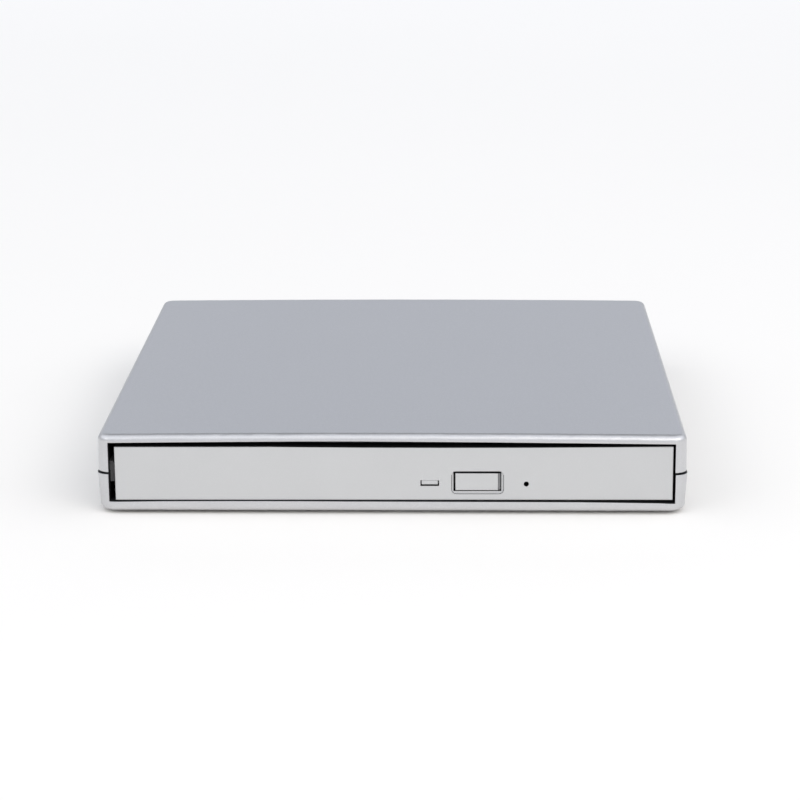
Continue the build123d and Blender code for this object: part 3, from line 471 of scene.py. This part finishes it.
def soften(node, width, angle=32.0, segments=2):
    """Rounds the CAD mesh's sharp edges by that width, in millimetres."""
    o = N[node]
    me = o.data
    for name in ("custom_normal", "sharp_edge", "sharp_face"):
        if name in me.attributes:
            me.attributes.remove(me.attributes[name])
    me.polygons.foreach_set("use_smooth", [True] * len(me.polygons))
    weld = o.modifiers.new("weld", "WELD")
    weld.merge_threshold = 2e-6
    bev = o.modifiers.new("edges", "BEVEL")
    bev.width = width * MM
    bev.segments = segments
    bev.limit_method = "ANGLE"
    bev.angle_limit = math.radians(angle)
    bev.use_clamp_overlap = False
    bev.miter_outer = "MITER_ARC"
    bev.harden_normals = False
    if node == "bottom_shell":
        mark_borders(me, bev.angle_limit)
        bev.limit_method = "WEIGHT"
    wn = o.modifiers.new("normals", "WEIGHTED_NORMAL")
    wn.mode = "FACE_AREA"
    wn.weight = 60
    wn.keep_sharp = False


for node, width in (("top_shell", 0.10), ("bottom_shell", 0.10), ("eject_button", 0.04), ("tray_frame", 0.12), ("optics_cover", 0.05),
                    ("left_rail", 0.06), ("right_rail", 0.06), ("drive_pan", 0.08), ("drive_lid", 0.08), ("tray_underplate", 0.06),
                    ("centre_hub", 0.08), ("hub_claw_1", 0.05), ("hub_claw_2", 0.05), ("hub_claw_3", 0.05), ("spindle_rotor", 0.08),
                    ("turntable_pad", 0.08), ("pickup_body", 0.12), ("pickup_cover", 0.04), ("lens_holder", 0.10), ("rail_guides", 0.10),
                    ("traverse_plate", 0.08), ("power_jack", 0.10), ("rubber_feet", 0.06), ("latch_hook", 0.08), ("rack_follower", 0.12)):
    soften(node, width)


# --------------------------------------------------------- finer pieces
DRIVE = Vector((0.385, -69.5, 3.52))


def dv(x, y, z):
    """A point in the drive's own frame, in millimetres, as a point in the row frame."""
    return (Vector((x, y, z)) + DRIVE) * MM


def tv(u, v, z):
    """A point in the traverse's frame: u runs from the disc centre to the front left."""
    a = math.radians(225)
    return dv(math.cos(a) * u - math.sin(a) * v, 66 + math.sin(a) * u + math.cos(a) * v, z)


def mesh(name, verts, faces, key, body=None, smooth=True):
    me = bpy.data.meshes.new(name)
    me.from_pydata([tuple(v) for v in verts], [], faces)
    me.materials.append(M[key])
    me.polygons.foreach_set("use_smooth", [smooth] * len(me.polygons))
    bm = bmesh.new()
    bm.from_mesh(me)
    bmesh.ops.recalc_face_normals(bm, faces=bm.faces)
    bm.to_mesh(me)
    bm.free()
    o = bpy.data.objects.new(name, me)
    scene.collection.objects.link(o)
    if body:
        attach(o, body)
    return o


def tube(name, path, radius, key, body, sides=10):
    """A wire of round section along a path of points, with rounded ends."""
    verts, faces = [], []
    up = Vector((0, 0, 1))
    count = len(path)
    for i, p in enumerate(path):
        t = (path[min(i + 1, count - 1)] - path[max(i - 1, 0)]).normalized()
        side = t.cross(up)
        if side.length < 1e-4:
            side = t.cross(Vector((0, 1, 0)))
        side.normalize()
        lift = side.cross(t).normalized()
        r = radius * (0.55 if i in (0, count - 1) else 1.0)
        for k in range(sides):
            a = 2 * math.pi * k / sides
            verts.append(p + (side * math.cos(a) + lift * math.sin(a)) * r)
    for i in range(count - 1):
        for k in range(sides):
            a, b = i * sides + k, i * sides + (k + 1) % sides
            faces.append((a, b, b + sides, a + sides))
    faces.append(tuple(range(sides)))
    faces.append(tuple(range((count - 1) * sides, count * sides)))
    return mesh(name, verts, faces, key, body)


def eject_spring():
    """Compression spring on the ejector, with closed end turns."""
    path, steps, turns = [], 24, 9
    y0, y1 = 107.3, 126.7
    for i in range(turns * steps + 1):
        t = i / steps
        # the first and the last turn lie flat
        s = min(max(t - 0.8, 0) / (turns - 1.6), 1.0)
        a = 2 * math.pi * t
        path.append(dv(-40.0 + 1.55 * math.cos(a), y0 + (y1 - y0) * s + 0.05 * min(t, 1.0), 4.2 + 1.55 * math.sin(a)))
    o = tube("eject_spring_coil", path, 0.28 * MM, "spring", "enclosure", 8)
    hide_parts("eject_spring")


def hook_spring():
    """Torsion spring of the latch: two turns and two legs."""
    path = [dv(46.65, 7.8, 3.42), dv(46.68, 10.0, 3.40)]
    steps, turns = 24, 2
    for i in range(turns * steps + 7):
        a = 2 * math.pi * i / steps
        z = 3.40 + 0.75 * i / (turns * steps + 6)
        path.append(dv(45.0 + 1.72 * math.cos(a), 13.0 + 1.72 * math.sin(a), z))
    end = 2 * math.pi * (turns * steps + 6) / steps
    path += [dv(45.0 + 1.72 * math.cos(end) + 1.0, 14.3, 4.15), dv(50.7, 14.25, 4.15)]
    o = tube("hook_spring_wire", path, 0.21 * MM, "spring", "tray", 8)
    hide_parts("hook_spring")


def lead_screw():
    """The pickup's screw with its 3 mm thread."""
    verts, faces, sides, step = [], [], 28, 0.15
    us = [6.3 + step * i for i in range(int(round(52.5 / step)) + 1)]
    for u in us:
        edge = min(1.0, (u - 6.3) / 0.6, (58.8 - u) / 0.6)
        for k in range(sides):
            ph = (u / 3.0 + k / sides) % 1.0
            d = abs(ph - 0.5) * 2
            groove = min(1.0, max(0.0, (0.62 - d) / 0.34))
            r = 1.24 - 0.30 * groove - 0.25 * (1 - max(0.0, edge))
            a = 2 * math.pi * k / sides
            verts.append(tv(u, 18.6 + r * math.cos(a), 4.7 + r * math.sin(a)))
    rings = len(us)
    for u, r in ((58.8, 0.57), (60.5, 0.57), (60.6, 0.45)):
        for k in range(sides):
            a = 2 * math.pi * k / sides
            verts.append(tv(u, 18.6 + r * math.cos(a), 4.7 + r * math.sin(a)))
        rings += 1
    for i in range(rings - 1):
        for k in range(sides):
            a, b = i * sides + k, i * sides + (k + 1) % sides
            faces.append((a, b, b + sides, a + sides))
    faces.append(tuple(range(sides)))
    faces.append(tuple(range((rings - 1) * sides, rings * sides)))
    o = mesh("lead_screw_thread", verts, faces, "ground", "lead_screw")
    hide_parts("lead_screw")


def strip(name, rows, thick, x0, x1, key):
    """A flat ribbon through the points (y, z) of its middle, from x0 to x1, in the drive's frame."""
    verts, faces = [], []
    cols = 9
    for i, (y, z) in enumerate(rows):
        y2, z2 = rows[min(i + 1, len(rows) - 1)]
        y1, z1 = rows[max(i - 1, 0)]
        n = Vector((0, -(z2 - z1), y2 - y1))
        n = n.normalized() * (thick / 2) if n.length else Vector((0, 0, thick / 2))
        for side in (1, -1):
            for c in range(cols):
                x = x0 + (x1 - x0) * c / (cols - 1)
                verts.append(dv(x, y + side * n.y, z + side * n.z))
    w = cols * 2
    for i in range(len(rows) - 1):
        for c in range(cols - 1):
            a = i * w + c
            faces.append((a, a + 1, a + 1 + w, a + w))
            b = i * w + cols + c
            faces.append((b, b + w, b + w + 1, b + 1))
        for c, flip in ((0, False), (cols - 1, True)):
            a, b = i * w + c, i * w + cols + c
            faces.append((a, a + w, b + w, b) if not flip else (a, b, b + w, a + w))
    for i in (0, len(rows) - 1):
        faces.append(tuple(i * w + c for c in range(cols)) + tuple(i * w + cols + c for c in reversed(range(cols))))
    return mesh(name, verts, faces, key)


def flat_cable():
    """Lower run and fold stay with the casing; the upper run lies flat between the casing and the tray and is given to
    no body.
    """
    fold = [(47.25 - 0.25 * math.sin(math.pi * i / 12), 0.97 - 0.25 * math.cos(math.pi * i / 12)) for i in range(13)]
    lower = [(119.5 - 72.25 * i / 40, 0.72) for i in range(40)] + fold
    o = strip("cable_lower_run", lower, 0.11, -14.0, 10.0, "ribbon")
    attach(o, "enclosure")
    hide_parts("flat_cable")
    upper = [(47.2 + 62.5 * i / 90, 1.22) for i in range(91)]
    upper += [(109.93, 1.26), (109.96, 1.4), (109.96, 1.7), (109.96, 2.05)]
    o = strip("cable_upper_run", upper, 0.10, -14.0, 10.0, "ribbon")
    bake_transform(o)
    edge = ((-14, 119.0), (10, 119.0), (11.5, 119.6), (26, 119.6), (26, 123.4), (-12.5, 123.4), (-14, 122.4))
    verts = [dv(x, y, z) for z in (0.67, 0.775) for x, y in edge]
    faces = [tuple(reversed(range(7))), tuple(range(7, 14))] + [(i, (i + 1) % 7, 7 + (i + 1) % 7, 7 + i) for i in range(7)]
    o = mesh("cable_tail", verts, faces, "ribbon", "enclosure", smooth=False)


eject_spring()
hook_spring()
lead_screw()
flat_cable()


# ------------------------------------------------------------------ studio
def plane(name, size, at, mat):
    bm = bmesh.new()
    bmesh.ops.create_grid(bm, x_segments=2, y_segments=2, size=size / 2)
    me = bpy.data.meshes.new(name)
    bm.to_mesh(me)
    bm.free()
    o = bpy.data.objects.new(name, me)
    o.location = at
    me.materials.append(mat)
    scene.collection.objects.link(o)
    return o


floor_mat = Mat("floor", (0.985, 0.966, 0.928), 0.7, specular=0.2)
floor_mat.tint(floor_mat.noise(3, 2, 0.5), 0.995, 1.0)
floor = plane("floor", 8.0, (0, 1.5, 0), floor_mat.done())

world = bpy.data.worlds.new("studio")
world.use_nodes = True
wt = world.node_tree
sky = wt.nodes.new("ShaderNodeTexCoord")
split = wt.nodes.new("ShaderNodeSeparateXYZ")
wt.links.new(sky.outputs["Generated"], split.inputs["Vector"])


def calc(op, *values):
    """A math node of the world; numbers are set, sockets are linked."""
    m = wt.nodes.new("ShaderNodeMath")
    m.operation = op
    for i, v in enumerate(values):
        if isinstance(v, (int, float)):
            m.inputs[i].default_value = v
        else:
            wt.links.new(v, m.inputs[i])
    return m.outputs[0]


# a broad light above the front and one high on each side, less light low at the
# sides and from the part of the back wall above the horizon
ahead = calc("MAXIMUM", calc("MULTIPLY", split.outputs["Y"], -1.0), 0.0)
above = calc("MULTIPLY_ADD", split.outputs["Z"], 0.83, calc("MULTIPLY", split.outputs["Y"], -0.56))
above = calc("POWER", calc("MAXIMUM", above, 0.0), 2.8)
level = calc("ADD", calc("MULTIPLY_ADD", ahead, 0.06, 0.42), calc("MULTIPLY", above, 0.80))
up = calc("MAXIMUM", split.outputs["Z"], 0.0)
aside = calc("MULTIPLY", split.outputs["X"], calc("MULTIPLY_ADD", up, 2.6, -0.14))
aside = calc("MULTIPLY", split.outputs["X"], calc("ADD", aside, 0.08))
level = calc("ADD", level, aside)
behind = calc("MULTIPLY", calc("MAXIMUM", split.outputs["Y"], 0.0), up)
level = calc("MAXIMUM", calc("MULTIPLY_ADD", behind, -0.50, level), 0.0)
level = calc("MULTIPLY", level, 0.94)
wt.nodes["Background"].inputs["Color"].default_value = (0.975, 1.0, 1.06, 1)
wt.links.new(level, wt.nodes["Background"].inputs["Strength"])
scene.world = world


def softbox(name, at, aim, w, h, power, colour=(1, 1, 1)):
    d = bpy.data.lights.new(name, "AREA")
    d.shape, d.size, d.size_y = "RECTANGLE", w, h
    d.energy, d.color = power, colour
    o = bpy.data.objects.new(name, d)
    o.location = at
    o.rotation_mode = "QUATERNION"
    o.rotation_quaternion = (Vector(aim) - Vector(at)).to_track_quat("-Z", "Y")
    scene.collection.objects.link(o)
    return o


softbox("key", (0.75, -1.15, 0.92), (0, 0, 0.01), 1.2, 0.5, 5.3, (1.0, 0.94, 0.86))
softbox("fill", (-0.85, -1.10, 0.85), (0, 0, 0.01), 0.6, 0.5, 1.3, (1.0, 0.97, 0.94))
softbox("back", (0.0, 2.0, 0.75), (0, 0.90, 0), 2.6, 0.7, 3.6, (0.93, 0.98, 1.10))
